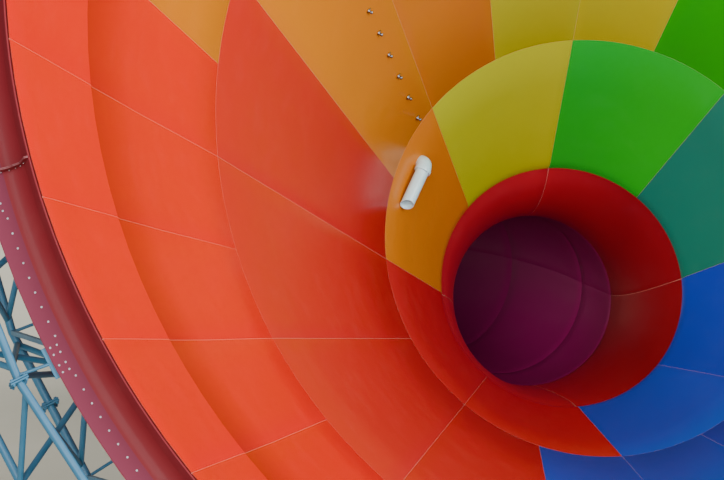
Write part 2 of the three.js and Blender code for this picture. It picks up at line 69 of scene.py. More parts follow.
# %% [markdown]
# ## One set of coordinates for the funnel
#
# Panels, seams, bolts and tubes all lie round the funnel's axis, so places are given as a radius,
# a step round the axis and a depth behind the rim, and one function turns them into points. Of
# the 16 steps, clockwise from the mouth, 0 is the left side, 4 the top and 12 the bottom. An
# object turned and placed for each panel would need far more numbers.

# %% The funnel's frame and its inside line
STEP = math.tau / 16
BOTTOM_STEP = 12
MOUTH_RADIUS = 9.15
MOUTH_CENTRE = (0, -8.145, 11.74)
AXIS_RISE = math.radians(30)
THROAT_RADIUS, THROAT_DEPTH, CONE_SLOPE = 1.77, 14.675, 0.512
LIP_SEAM, CREASE, BLEND_END, OUTER_SEAM, MIDDLE_SEAM = 0.16, 2.28, 3.7, 6.16, 12.21
CREASE_RADIUS, CREASE_DROP = 8.06, 0.022
ROLL_LENGTH, ROLL_SLOPE = 0.2, 0.15
ROLL_START = THROAT_DEPTH - ROLL_LENGTH
FUNNEL = Matrix.Translation(MOUTH_CENTRE) @ Matrix.Rotation(math.pi / 2 - AXIS_RISE, 4, "X")


def at(radius, step, depth):
    turn = (BOTTOM_STEP - step) * STEP
    return Vector((radius * math.sin(turn), -radius * math.cos(turn), -depth))


def on_funnel(radius, step, depth):
    return FUNNEL @ at(radius, step, depth)


def cone(depth):
    return THROAT_RADIUS + CONE_SLOPE * (THROAT_DEPTH - depth)


def inner_radius(depth):
    if depth <= CREASE:
        return MOUTH_RADIUS + (CREASE_RADIUS - MOUTH_RADIUS) * depth / CREASE
    if depth > ROLL_START:
        rolled = depth - ROLL_START
        easing = (CONE_SLOPE - ROLL_SLOPE) / ROLL_LENGTH / 2
        return cone(ROLL_START) - CONE_SLOPE * rolled + easing * rolled ** 2
    if depth >= BLEND_END:
        return cone(depth)
    share = (depth - CREASE) / (BLEND_END - CREASE)
    start = CREASE_RADIUS + CREASE_DROP
    return start + (cone(BLEND_END) - start) * share


LOW_STEP, LOW_HALF, LOW_FADE, LOWERED = 15.65, 0.35, 0.5, 0.055


def seam_step(step, depth):
    """Low on the left, seams run a little lower toward the rim than even spacing would put them."""
    aside = abs((step - LOW_STEP + 8) % 16 - 8) - LOW_HALF
    nearness = min(1, max(0, 1 - aside / LOW_FADE))
    return step - LOWERED * nearness * max(0, 1 - depth / OUTER_SEAM)


for depth in (0, CREASE, OUTER_SEAM, MIDDLE_SEAM):
    print("inside radius at depth", depth, "is", round(inner_radius(depth), 3))

# %% [markdown]
# ## Camera
#
# The picture was taken from high in front of the mouth, from about 45 metres away and through a
# long lens, which is why the cone looks shallow. The camera's place and aim are given in the
# funnel's own frame, because that is where they were worked out from the seams.

# %% Camera
CAMERA_DISTANCE, CAMERA_LEFT, CAMERA_LOW = 45.0, -0.3039, -0.2855
CAMERA_ROLL, CAMERA_AIM, FOCAL_PIXELS = -0.1035, (-5.5352, -2.6715, 0), 3987.9
PHOTO_WIDTH, SENSOR = 724, 36

direction = Vector((math.sin(CAMERA_LEFT) * math.cos(CAMERA_LOW), math.sin(CAMERA_LOW),
                    math.cos(CAMERA_LEFT) * math.cos(CAMERA_LOW)))
eye = direction * CAMERA_DISTANCE
back = (eye - Vector(CAMERA_AIM)).normalized()
right = Vector((0, 1, 0)).cross(back).normalized()
up = back.cross(right)
cos_roll, sin_roll = math.cos(CAMERA_ROLL), math.sin(CAMERA_ROLL)
rolled_right = right * cos_roll + up * sin_roll
rolled_up = up * cos_roll - right * sin_roll
pose = Matrix((rolled_right, rolled_up, back)).transposed().to_4x4()
pose.translation = eye

camera = bpy.data.objects.new("camera", bpy.data.cameras.new("camera"))
scene.collection.objects.link(camera)
camera.data.sensor_width = SENSOR
camera.data.lens = FOCAL_PIXELS * SENSOR / PHOTO_WIDTH
camera.data.clip_end = 400
camera.matrix_world = FUNNEL @ pose
scene.camera = camera
print("camera at", tuple(round(x, 2) for x in camera.matrix_world.translation))

# %% [markdown]
# ## Colours and nodes
#
# Paint colours are easiest to read as sRGB hex values, but shaders work in linear light, so one
# function converts them. A second one adds a node with its settings and links. Keys that name an
# input set that input, and other keys set the node itself. A link leaves a node by its first
# output, unless another output is given.

# %% Colour and node helpers
def linear(colour):
    channels = [int(colour[i:i + 2], 16) / 255 for i in (1, 3, 5)]
    return (*[c / 12.92 if c <= 0.04045 else ((c + 0.055) / 1.055) ** 2.4 for c in channels], 1)


def add(tree, kind, settings=None, links=None):
    node = tree.nodes.new("ShaderNode" + kind)
    for key, value in (settings or {}).items():
        if key in node.inputs:
            node.inputs[key].default_value = value
        else:
            setattr(node, key, value)
    for key, source in (links or {}).items():
        tree.links.new(getattr(source, "outputs", [source])[0], node.inputs[key])
    return node


def blank_material(name):
    material = bpy.data.materials.new(name)
    material.use_nodes = True
    tree = material.node_tree
    tree.nodes.clear()
    place = add(tree, "TexCoord").outputs["Object"]
    return material, tree, place


def close_material(tree, shader):
    add(tree, "OutputMaterial", links={"Surface": shader})


print("orange-red in linear light:", [round(x, 3) for x in linear("#d63c1c")])

# %% [markdown]
# ## Gelcoat
#
# The inside of each panel is polyester gelcoat, sprayed into a polished mould before the glass
# goes in. It is glossy, with a faint wave where the laminate shrinks behind it, and in the open
# it fades and chalks a little. A Principled shader with the polyester's own IOR, a broad noise
# for fading, a finer one for chalky marks and a weak bump give that. Light and shade are also
# painted into the colour: the band above the crease is painted lighter than the wall below it,
# and painted shade darkens that wall most just inside the crease. That painted shade needs each
# point's depth, which is its distance along the funnel's axis. The bell gets painted shade in
# the same way, darker toward its right.

# %% Gelcoat material
POLYESTER_IOR = 1.55
FADE_SPAN = 2.4        # metres between faded patches
STAIN_SPAN = 0.35      # metres between chalky marks
WAVE_SPAN = 0.8        # metres, print-through of the laminate
PEEL_SPAN = 0.03       # orange peel is about 3 mm; drawn ten times coarser to show
DEEP, PALE = 0.93, 1.07
CHALK, CHALK_AMOUNT = "#e6ddd2", 0.008
# Painted shade below the crease: the colour darkens over SHADE_REACH metres, most at the crease.
SHADE_REACH, CREASE_PAINTED_SHADE = 1.25, (0.64, 0.25, 0.2, 1)
OUTWARD = FUNNEL.to_3x3() @ Vector((0, 0, 1))
CREASE_LEVEL = OUTWARD.dot(FUNNEL @ Vector((0, 0, -CREASE)))
PAINTED_SHADE_BELOW_CREASE = OUTWARD, CREASE_LEVEL - SHADE_REACH, CREASE_LEVEL, CREASE_PAINTED_SHADE
# Painted shade: the bell's colour darkens toward its right.
BELL_PAINTED_SHADE_RIGHT = Vector((1, 0, 0)), -0.3, 1.2, (0.45, 0.4, 0.5, 1)


def paint_shade_along(tree, place, colour, along, light, deep, shade):
    """Paints shade: multiplies a colour by a darkening that grows along a direction."""
    level = add(tree, "VectorMath", {"operation": "DOT_PRODUCT"}, {0: place})
    level.inputs[1].default_value = along
    amount = add(tree, "MapRange", {"From Min": light, "From Max": deep},
                 {"Value": level.outputs["Value"]})
    return add(tree, "MixRGB", {"blend_type": "MULTIPLY", "Color2": shade},
               {"Fac": amount, "Color1": colour})


def gelcoat(name, colour, roughness, specular=0.35, painted_shade=None):
    material, tree, place = blank_material(name)
    fade = add(tree, "TexNoise", {"Scale": 1 / FADE_SPAN, "Detail": 3}, {"Vector": place})
    stain = add(tree, "TexNoise",
                {"Scale": 1 / STAIN_SPAN, "Detail": 6, "Roughness": 0.65}, {"Vector": place})
    tones = [tuple(share * c for c in linear(colour)[:3]) + (1,) for share in (DEEP, PALE)]
    base = add(tree, "MixRGB", {"Color1": tones[0], "Color2": tones[1]}, {"Fac": fade})
    marks = add(tree, "MapRange",
                {"From Min": 0.5, "From Max": 0.75, "To Max": CHALK_AMOUNT}, {"Value": stain})
    shown = add(tree, "MixRGB", {"Color2": linear(CHALK)}, {"Fac": marks, "Color1": base})
    if painted_shade:
        shown = paint_shade_along(tree, place, shown, *painted_shade)
    gloss = add(tree, "MapRange", {"To Min": roughness - 0.05, "To Max": roughness + 0.1},
                {"Value": stain})
    wave = add(tree, "TexNoise", {"Scale": 1 / WAVE_SPAN, "Detail": 1}, {"Vector": place})
    peel = add(tree, "TexNoise", {"Scale": 1 / PEEL_SPAN, "Detail": 2}, {"Vector": place})
    soft = add(tree, "Bump", {"Strength": 0.25, "Distance": 0.006}, {"Height": wave})
    fine = add(tree, "Bump", {"Strength": 0.12, "Distance": 0.0006},
               {"Height": peel, "Normal": soft})
    shader = add(tree, "BsdfPrincipled",
                 {"IOR": POLYESTER_IOR, "Specular IOR Level": specular, "Coat Weight": 0.05,
                  "Coat Roughness": 0.15},
                 {"Base Color": shown, "Roughness": gloss, "Normal": fine})
    close_material(tree, shader)
    return material


# The band's tones are lighter than the outer ring's as painted light, for the light the band gets.
# The rings' tones differ a little too, partly their own tone and partly painted light and shade.
PANEL_COLOURS = {  # the light band, then the outer, middle and throat rings
    "red": ("#e20200", "#dc0c00", "#bf1412", "#ba161a"),
    "orange": ("#dd7c00", "#ca7000", "#cc7200", "#d07200"),
    "yellow": ("#d2c800", "#c6bf00", "#bcb900", "#b6b800"),
    "green": ("#06bc14", "#00b110", "#00ad10", "#00ad22"),
    "teal": ("#008874", "#007c68", "#007866", "#007762"),
    "blue": ("#0a4ac8", "#0840bc", "#083cb8", "#083ab6"),
    "dark_blue": ("#124cce", "#1046c4", "#1044c2", "#1042be"),
}
RING_GLOSS = {"band": 0.1, "outer": 0.15, "middle": 0.35, "throat": 0.35}
gelcoats = {}
for colour, tones in PANEL_COLOURS.items():
    for (where, gloss), tone in zip(RING_GLOSS.items(), tones):
        # Only the outer ring gets the painted shade below the crease.
        painted_shade = PAINTED_SHADE_BELOW_CREASE if where == "outer" else None
        gelcoats[where, colour] = gelcoat(f"gelcoat_{colour}_{where}", tone, 0.34, gloss, painted_shade)
lip_gelcoat = gelcoat("satin_gelcoat_maroon", "#7c1e26", 0.58, 0.2)
# Painted reflection: the flange's plum tone stands for the sky reflected in its flat front.
lip_flange_painted_reflection = gelcoat("satin_gelcoat_plum_sky_reflection", "#70243a", 0.58, 0.2)
# The bell's base colour is lifted, and painted shade darkens it toward its right.
bell_gelcoat = gelcoat("gelcoat_deep_red", "#b61c28", 0.5, 0.15, BELL_PAINTED_SHADE_RIGHT)
tunnel_gelcoat = gelcoat("gelcoat_purple_red", "#820750", 0.55, 0.15)
print("gelcoats:", len(gelcoats) + 4)

# %% [markdown]
# ## The back of the laminate
#
# Behind the gelcoat lies chopped-strand glass in polyester, rolled out by hand and sealed with
# coloured resin. It is dull and uneven, and short strands show through. Strands are about 50 mm
# long and too fine to show, so a stretched noise draws them coarser.

# %% Laminate back material
STRAND_SPAN = 0.09


def laminate_back(name, colour, strands):
    material, tree, place = blank_material(name)
    blotch = add(tree, "TexNoise", {"Scale": 1.1, "Detail": 4}, {"Vector": place})
    strand = add(tree, "TexNoise",
                 {"Scale": 1 / STRAND_SPAN, "Detail": 5, "Distortion": 2.5}, {"Vector": place})
    crisp = add(tree, "MapRange", {"From Min": 0.35, "From Max": 0.65}, {"Value": strand})
    mixed = add(tree, "Math", {"operation": "MULTIPLY"}, {0: blotch, 1: crisp})
    base = add(tree, "MixRGB", {"Color1": linear(colour), "Color2": linear(strands)},
               {"Fac": mixed})
    bump = add(tree, "Bump", {"Strength": 0.5, "Distance": 0.003}, {"Height": crisp})
    shader = add(tree, "BsdfPrincipled", {"IOR": POLYESTER_IOR, "Roughness": 0.55},
                 {"Base Color": base, "Normal": bump})
    close_material(tree, shader)
    return material


BACK_COLOURS = {
    "red": ("#b8412c", "#cf7060"),
    "orange": ("#c27f2c", "#d6a468"),
    "yellow": ("#bdb12c", "#d2ca72"),
    "green": ("#3d8f3a", "#78b374"),
    "teal": ("#26766a", "#65a197"),
    "blue": ("#2d5a99", "#6d8fbd"),
    "dark_blue": ("#33528c", "#7089b3"),
    "maroon": ("#7d3035", "#9c5c60"),
}
backs = {name: laminate_back(f"laminate_back_{name}", *pair) for name, pair in BACK_COLOURS.items()}
print("laminate backs:", len(backs))

# %% [markdown]
# ## Painted steel, fixings, sealant and pipe
#
# The tubes are galvanised steel under light blue paint: half glossy, with dust on what faces up.
# Bolts are zinc-plated steel, so they are metal, and a metal keeps the default IOR. The seams are
# filled with pale polyurethane sealant. The jet pipe is white PVC, and the nozzles are brushed
# stainless steel. Each gets a small noise of its own, because none is one flat tone.

# %% Paint, metal and plastic materials
DUST = "#b9b4a6"


def plain(name, colour, worn, span, metallic=0.0, roughness=0.4, ior=1.5, dust=0.0):
    material, tree, place = blank_material(name)
    grain = add(tree, "TexNoise", {"Scale": 1 / span, "Detail": 6, "Roughness": 0.6},
                {"Vector": place})
    tone = add(tree, "MapRange", {"From Min": 0.4, "From Max": 0.8}, {"Value": grain})
    shown = add(tree, "MixRGB", {"Color1": linear(colour), "Color2": linear(worn)}, {"Fac": tone})
    if dust:
        normal = add(tree, "NewGeometry").outputs["Normal"]
        upward = add(tree, "SeparateXYZ", links={"Vector": normal}).outputs["Z"]
        settled = add(tree, "MapRange", {"From Min": 0.2, "From Max": 1.0, "To Max": dust},
                      {"Value": upward})
        shown = add(tree, "MixRGB", {"Color2": linear(DUST)}, {"Fac": settled, "Color1": shown})
    rough = add(tree, "MapRange", {"To Min": roughness - 0.06, "To Max": roughness + 0.1},
                {"Value": grain})
    relief = add(tree, "Bump", {"Strength": 0.1, "Distance": 0.001}, {"Height": grain})
    shader = add(tree, "BsdfPrincipled", {"Metallic": metallic, "IOR": ior},
                 {"Base Color": shown, "Roughness": rough, "Normal": relief})
    close_material(tree, shader)
    return material


steel_paint = plain("light_blue_steel_paint", "#2b6788", "#387493", 0.25, roughness=0.46, dust=0.04)
zinc = plain("zinc_plated_steel", "#c9ccce", "#a9adb0", 0.02, metallic=1.0, roughness=0.32)
stainless = plain("brushed_stainless_steel", "#7c7e81", "#66686b", 0.01, metallic=1.0,
                  roughness=0.3)
sealant = plain("polyurethane_sealant", "#d6a28a", "#c8947c", 0.05, roughness=0.55)
white_pvc = plain("white_pvc", "#cdeaee", "#bcdade", 0.3, roughness=0.3, ior=1.53)
print("paints, metals and plastics: 5")

# %% [markdown]
# ## Mesh helpers
#
# Every piece is gathered from chunks, each a list of points and of faces with the number of its
# material. Joining plain lists and making one mesh at the end is much faster than joining
# hundreds of objects. Faces turn outward, and edges sharper than 24 degrees stay crisp.

# %% Pieces from chunks
SHARP = math.radians(24)
PLATE_EASE = 0.003
made = []


def joined(parts):
    """The points and faces of several parts, in one list each."""
    points, faces = [], []
    for vertices, polygons in parts:
        start = len(points)
        points.extend(vertices)
        faces.extend([start + i for i in polygon] for polygon in polygons)
    return points, faces


def piece(name, chunks, materials, replaces=()):
    points, faces = joined(chunk[:2] for chunk in chunks)
    shades = []
    for _, polygons, shade in chunks:
        shades.extend([shade] * len(polygons) if isinstance(shade, int) else shade)
    mesh = bpy.data.meshes.new(name)
    mesh.from_pydata([tuple(p) for p in points], [], faces)
    mesh.polygons.foreach_set("material_index", shades)
    for material in materials:
        mesh.materials.append(material)
    shape = bmesh.new()
    shape.from_mesh(mesh)
    bmesh.ops.remove_doubles(shape, verts=shape.verts, dist=2e-5)
    bmesh.ops.recalc_face_normals(shape, faces=shape.faces)
    shape.to_mesh(mesh)
    shape.free()
    mesh.polygons.foreach_set("use_smooth", [True] * len(mesh.polygons))
    mesh.set_sharp_from_angle(angle=SHARP)
    thing = bpy.data.objects.new(name, mesh)
    scene.collection.objects.link(thing)
    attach(thing, "root")
    if replaces:
        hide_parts(*replaces)
    made.append(thing)


def steelwork(name, chunks, node):
    piece(name, chunks, [steel_paint, zinc], [node])


def strip(rows, shade=0, looped=False):
    """Joins a row of outlines into one skin, capped at both ends or looped round to the first."""
    around = len(rows[0])
    points = [p for row in rows for p in row]
    faces = []
    for row in range(len(rows) if looped else len(rows) - 1):
        here, ahead = row * around, (row + 1) % len(rows) * around
        for i in range(around):
            j = (i + 1) % around
            faces.append([here + i, here + j, ahead + j, ahead + i])
    if not looped:
        faces.append(list(range(around))[::-1])
        faces.append(list(range(len(points) - around, len(points))))
    return points, faces, shade


def revolved(profile, first, last, count, shade=0, frame=FUNNEL):
    """A profile of radius and depth swept round the axis from one step to another."""
    whole = abs(last - first) >= 16
    steps = [first + (last - first) * i / count for i in range(count if whole else count + 1)]
    rows = [[frame @ at(radius, step, depth) for radius, depth in profile] for step in steps]
    return strip(rows, shade, looped=whole)


def rectangle(inner, outer, front, rear):
    return [(inner, front), (outer, front), (outer, rear), (inner, rear)]


def frame_along(start, end):
    """A frame at start whose Z points to end."""
    turn = (end - start).to_track_quat("Z", "Y").to_matrix().to_4x4()
    return Matrix.Translation(start) @ turn


def lifted(place, height):
    return place @ Matrix.Translation((0, 0, height))


def below(point, fall):
    return point - Vector((0, 0, fall))


def circle(radius, sides):
    angles = [math.tau * i / sides for i in range(sides)]
    return [(radius * math.cos(angle), radius * math.sin(angle)) for angle in angles]


def turned(place, outline, sides):
    """A shape turned round the Z of a frame, from its heights and radii."""
    return strip([[place @ Vector((x, y, z)) for x, y in circle(radius, sides)]
                  for z, radius in outline])


def tube(start, end, radius, sides=16):
    return turned(frame_along(start, end), [(0, radius), ((end - start).length, radius)], sides)


def slab(place, size):
    """A plate with eased edges, centred on a frame."""
    half = [s / 2 for s in size]
    ease = min(PLATE_EASE, *[h * 0.45 for h in half])
    rows = []
    for inset, z in ((ease, -half[2]), (0, ease - half[2]), (0, half[2] - ease), (ease, half[2])):
        x, y = half[0] - inset, half[1] - inset
        corners = (-x, -y, z), (x, -y, z), (x, y, z), (-x, y, z)
        rows.append([place @ Vector(corner) for corner in corners])
    return strip(rows)


def copies(template, frames, shade=0):
    """The same little shape at many frames."""
    points, faces = template
    return *joined(([place @ p for p in points], faces) for place in frames), shade


def bolt_shape(size, grip=0.0):
    """A hexagon head on a washer, and with a grip, a nut on the far side too. Z leaves the work."""
    def disc(sides, radius, low, high, chamfer):
        top = high - math.copysign(chamfer, high - low)
        return turned(Matrix(), [(low, radius), (top, radius), (high, radius - chamfer)], sides)[:2]
    height, width, nut = 0.85 * size, 0.95 * size, -grip - 0.85 * size
    parts = [disc(10, 1.15 * size, 0, 0.18 * size, 0.04 * size),
             disc(6, width, 0.18 * size, height, 0.12 * size)]
    if grip:
        parts.append(disc(6, width, -grip, nut, 0.12 * size))
        parts.append(disc(8, 0.5 * size, nut, -grip - 1.4 * size, 0.06 * size))
    return joined(parts)


print("bolt faces:", len(bolt_shape(0.02)[1]))

# %% [markdown]
# ## Moulded panels
#
# Each panel is a shallow tray: a smooth inside face whose edges turn outward into bolting
# flanges. It could be a plane with a Solidify modifier, but the flanges need real corners, so a
# grid is laid out twice, once for the gelcoat and once for the back, and closed at the flanges'
# edges. The same function later makes the tunnel's mouldings.

# %% Tray-shaped mouldings
SKIN = 0.012
EASE = 0.0015
SEAM_GAP = 0.0008
FLANGE = 0.1
FLANGES_FROM = 0.435   # nearer the rim the lip's leg lies where the flanges would be


def tray(place, u_ends, v_stops, u_count, start=FLANGE, band=None):
    def edge(value, sign, height, base):
        gap, curve = SEAM_GAP + base, base + EASE
        steps = [(gap, max(height, curve)), (gap, curve), (gap + 0.3 * EASE, base + 0.3 * EASE),
                 (gap + EASE, base)]
        return [(value, sign * aside, rise) for aside, rise in steps]

    rows = []
    for base in (0.0, SKIN):
        middle_u = [(u_ends[0] + (u_ends[1] - u_ends[0]) * i / u_count, 0, base)
                    for i in range(1, u_count)]
        middle_v = [(v, 0, base) for v in v_stops[1:-1]]
        us = edge(u_ends[0], 1, FLANGE, base) + middle_u + edge(u_ends[1], -1, FLANGE, base)[::-1]
        vs = edge(v_stops[0], 1, start, base) + middle_v + edge(v_stops[-1], -1, FLANGE, base)[::-1]
        rows.append([[place(u, v) for v in vs] for u in us])
    wide, long = len(rows[0]), len(rows[0][0])
    points = [p for layer in rows for row in layer for p in row]
    faces, tones = [], []

    def index(layer, i, j):
        return (layer * wide + i) * long + j

    depths = [v[0] for v in vs]
    for layer in (0, 1):
        for i in range(wide - 1):
            for j in range(long - 1):
                faces.append([index(layer, i, j), index(layer, i + 1, j),
                              index(layer, i + 1, j + 1), index(layer, i, j + 1)][::1 - 2 * layer])
                # Faces above the crease take the band's gelcoat, painted lighter.
                in_band = band is not None and depths[j + 1] <= band + 1e-6
                tones.append(1 if layer else 2 if in_band else 0)
    edges = ([(i, 0) for i in range(wide)] + [(wide - 1, j) for j in range(1, long)]
             + [(i, long - 1) for i in range(wide - 2, -1, -1)]
             + [(0, j) for j in range(long - 2, 0, -1)])
    for (i, j), (k, m) in zip(edges, edges[1:] + edges[:1]):
        faces.append([index(0, i, j), index(0, k, m), index(1, k, m), index(1, i, j)])
        tones.append(1)
    return points, faces, tones


def cone_place(u, v):
    depth = v[0] + v[1]
    radius = inner_radius(depth)
    rise = max(u[2], v[2])
    if depth < FLANGES_FROM:
        rise = min(rise, SKIN + 2 * EASE)
    return on_funnel(radius + rise, seam_step(u[0], depth) + u[1] / (radius * STEP), depth)


# %% [markdown]
# ## The three rings of panels
#
# Round the throat there are eight panels, in the middle sixteen, and along the rim thirty-two,
# and the colours change every two steps. Each group of one colour stands for one CAD node. The
# rim panels have a crease behind their light band, and a plate flange that meets the lip's.
# Moulded hat ribs cross their backs to stiffen them.

# %% Panels
SECTOR_COLOURS = ["orange", "yellow", "green", "teal", "blue", "dark_blue", "red", "red"]
CRADLE_FLANGE = 0.255
LIP_FLANGE_DEPTH, LIP_FLANGE_INNER, LIP_FLANGE_OUTER, LIP_SKIN = 0.396, 9.44, 9.68, 0.016
PANEL_EDGE, PLATE_GAP, HAT_SINK = 0.012, 0.0005, 0.004
HAT_WIDTH, HAT_TOP, HAT_HEIGHT, HAT_MARGIN = 0.11, 0.06, 0.045, 0.09
DEGREES_A_FACE = 2.8125

RINGS = {
    "outer": {"first": 0.5, "panels": 4, "node": "outer_panels", "start": 0.0,
              "stops": [PANEL_EDGE, 0.43, 0.44, 0.8, 1.5, 2.24, CREASE - 0.006, CREASE,
                        CREASE + 0.012, CREASE + 0.05, 2.6, 3.1, BLEND_END, 4.6, 5.4, OUTER_SEAM],
              "hats": [1.15, 2.9, 4.2, 5.3]},
    "middle": {"first": 1, "panels": 2, "node": "middle_panels", "start": CRADLE_FLANGE,
               "stops": [OUTER_SEAM, 7.6, 9.1, 10.6, MIDDLE_SEAM], "hats": [7.4, 8.6, 9.8, 11.0]},
    "throat": {"first": 0, "panels": 1, "node": "throat_panel", "start": CRADLE_FLANGE,
               "stops": [MIDDLE_SEAM, 13.0, 13.8, ROLL_START, 14.53, 14.585, 14.635, THROAT_DEPTH],
               "hats": [13.4]},
}


def hat_rib(first, last, depth, count):
    foot, top = SKIN - HAT_SINK, SKIN + HAT_HEIGHT
    profile = [(depth - HAT_WIDTH / 2, foot), (depth - HAT_TOP / 2, top),
               (depth + HAT_TOP / 2, top), (depth + HAT_WIDTH / 2, foot)]
    line = [(inner_radius(d) + rise, d) for d, rise in profile]
    margin = HAT_MARGIN / (inner_radius(depth) * STEP)
    ends = seam_step(first, depth) + margin, seam_step(last, depth) - margin
    return revolved(line, *ends, count, shade=1)


for ring_name, ring in RINGS.items():
    width = 2 / ring["panels"]
    count = round(width * 22.5 / DEGREES_A_FACE)
    band = CREASE if ring_name == "outer" else None
    for sector, colour in enumerate(SECTOR_COLOURS):
        start, chunks = ring["first"] + 2 * sector, []
        for panel in range(ring["panels"]):
            first = start + width * panel
            chunks.append(tray(cone_place, (first, first + width), ring["stops"], count,
                               ring["start"], band))
            chunks += [hat_rib(first, first + width, depth, count) for depth in ring["hats"]]
        if band:
            front = LIP_FLANGE_DEPTH + LIP_SKIN + PLATE_GAP
            plate = rectangle(inner_radius(front) + SKIN / 2, LIP_FLANGE_OUTER, front, front + SKIN)
            chunks.append(revolved(plate, start + PLATE_GAP, start + 2 - PLATE_GAP, 16, shade=1))
        name = f"{ring_name}_{colour}" + ("_2" if sector == 7 else "")
        coats = [gelcoats[ring_name, colour], backs[colour], gelcoats["band", colour]]
        piece(f"{name}_panels", chunks, coats, [f"{ring['node']}_{sector + 1}"])
print("panel groups:", len(made), "faces:", sum(len(o.data.polygons) for o in made))

# %% [markdown]
# ## Sealed seams
#
# The joints between panels are filled with sealant and wiped flush. From a distance they are
# hair lines, a little paler than the panels, because each bead is only a few millimetres wide.

# %% Sealant
BEAD, BEAD_TOP, BEAD_BACK = 0.001, 0.0005, 0.012
BEAD_CORNERS = (-1, BEAD_TOP), (1, BEAD_TOP), (1, BEAD_BACK), (-1, BEAD_BACK)


def seam_line(step, stops):
    rows = []
    for depth in stops:
        radius = inner_radius(depth)
        spread = BEAD / (radius * STEP)
        rows.append([on_funnel(radius + rise, seam_step(step, depth) + side * spread, depth)
                     for side, rise in BEAD_CORNERS])
    return strip(rows)


def seam_steps(ring):
    lines = 8 * ring["panels"]
    return [ring["first"] + 16 * i / lines for i in range(lines)]


beads = [seam_line(step, ring["stops"]) for ring in RINGS.values() for step in seam_steps(ring)]
for depth in (OUTER_SEAM, MIDDLE_SEAM):
    radius = inner_radius(depth)
    profile = rectangle(radius + BEAD_TOP, radius + BEAD_BACK, depth - BEAD, depth + BEAD)
    beads.append(revolved(profile, 0, 16, 128))
piece("sealed_seams", beads, [sealant])
print("beads:", len(beads))

# %% [markdown]
# ## The lip
#
# The rim is finished with eight hooked mouldings. Each laps behind the panels' edge, rolls over
# a tight nose, sweeps back in a cove and ends in a flange bolted to the panels. The flange is the
# same maroon gelcoat, with a plum colour as a painted reflection of the sky in its flat front.
# Where two meet, both turn up into a low fin, whose cut edge is bare laminate.

# %% Lip mouldings
NOSE, LAP, THIN, FLANGE_EASE = 0.01, 0.0165, 0.007, 0.004
COVE_START, COVE_PULL = (0.055, 0.2), 0.09
LIP_FIRST, LIP_PARTING = 1.575, 0.002
FIN_HEIGHT, FIN_THICKNESS = 0.12, 0.008


def lip_line():
    line = [(inner_radius(LIP_SEAM) + LAP, LIP_SEAM)]
    for i in range(13):
        angle = math.pi + math.pi * i / 12
        radius = MOUTH_RADIUS + LAP + NOSE + NOSE * math.cos(angle)
        line.append((radius, NOSE + NOSE * math.sin(angle)))
    bends = ((MOUTH_RADIUS + COVE_START[0], COVE_START[1]),
             (MOUTH_RADIUS + COVE_PULL, LIP_FLANGE_DEPTH), (LIP_FLANGE_INNER, LIP_FLANGE_DEPTH))
    for t in (i / 16 for i in range(17)):
        line.append(tuple((1 - t) ** 2 * a + 2 * t * (1 - t) * b + t * t * c
                          for a, b, c in zip(*bends)))
    line.append((LIP_FLANGE_OUTER - FLANGE_EASE, LIP_FLANGE_DEPTH))
    line.append((LIP_FLANGE_OUTER, LIP_FLANGE_DEPTH + FLANGE_EASE))
    return line


def offset_line(line, distance):
    shifted = []
    for i, point in enumerate(line):
        before, after = line[max(i - 1, 0)], line[min(i + 1, len(line) - 1)]
        dx, dy = after[0] - before[0], after[1] - before[1]
        length = math.hypot(dx, dy)
        shifted.append((point[0] - dy / length * distance, point[1] + dx / length * distance))
    return shifted


def with_tone(chunk, around, picked, tone):
    """Gives some of the strips between an outline's points another material."""
    points, faces, shade = chunk
    sides = len(faces) - 2
    tones = [tone if i < sides and i % around in picked else shade for i in range(len(faces))]
    return points, faces, tones


NOSE_POINTS = 14
lip_front = lip_line()
lip_back = (offset_line(lip_front, THIN)[:NOSE_POINTS]
            + offset_line(lip_front, LIP_SKIN)[NOSE_POINTS:])
fin_line = lip_front[10:]
fin_tops = offset_line(fin_line, -FIN_HEIGHT)
fin_share = [min(1.0, i / 8) for i in range(len(fin_line))]
fin_top = [tuple(a + (b - a) * s for a, b in zip(low, high))
           for low, high, s in zip(fin_line, fin_tops, fin_share)]
across, fin_across = len(lip_front), len(fin_line)
gap, thick = (size / (MOUTH_RADIUS * STEP) for size in (LIP_PARTING, FIN_THICKNESS))
for i in range(8):
    first, last = LIP_FIRST + 2 * i + gap, LIP_FIRST + 2 * i + 2 - gap
    hook = revolved(lip_front + lip_back[::-1], first, last, 32)
    chunks = [with_tone(hook, 2 * across, range(across - 3, across), 1)]
    for low, high in ((first, first + thick), (last - thick, last)):
        fin = revolved(fin_line + fin_top[::-1], low, high, 1)
        chunks.append(with_tone(fin, 2 * fin_across, range(fin_across, 2 * fin_across - 1), 2))
    piece(f"lip_moulding_{i + 1}", chunks, [lip_gelcoat, lip_flange_painted_reflection, backs["maroon"]],
          [f"lip_{i + 1}"])
print("lip mouldings: 8, points across each:", len(lip_front))

# %% [markdown]
# ## The exit
#
# A bell in four quarters narrows the throat to a tunnel of 2.5 metres, whose lengths are split
# into an upper and a lower half. The middle line levels out and turns left, so it is walked in
# short strides, and each moulding hangs on the frames along it. Where the bell meets the tunnel,
# both are a little wider and further left than in the CAD, and that fades out on the way to the
# throat and to the first cradle.

# %% Tunnel mouldings
TUNNEL_RADIUS, TUNNEL_WALL, RING_PLATE = 1.25, 0.014, 0.02
LEAN, WIDENING = 0.06, 0.045
JOINTS = [2.165, 3.3, 5.0, 7.8]
LEVELLING_LENGTH, END_FALL = 3.5, math.radians(4)
TURN_PER_METRE = math.radians(10)
STRIDE, ROW_LENGTH = 0.05, 0.18


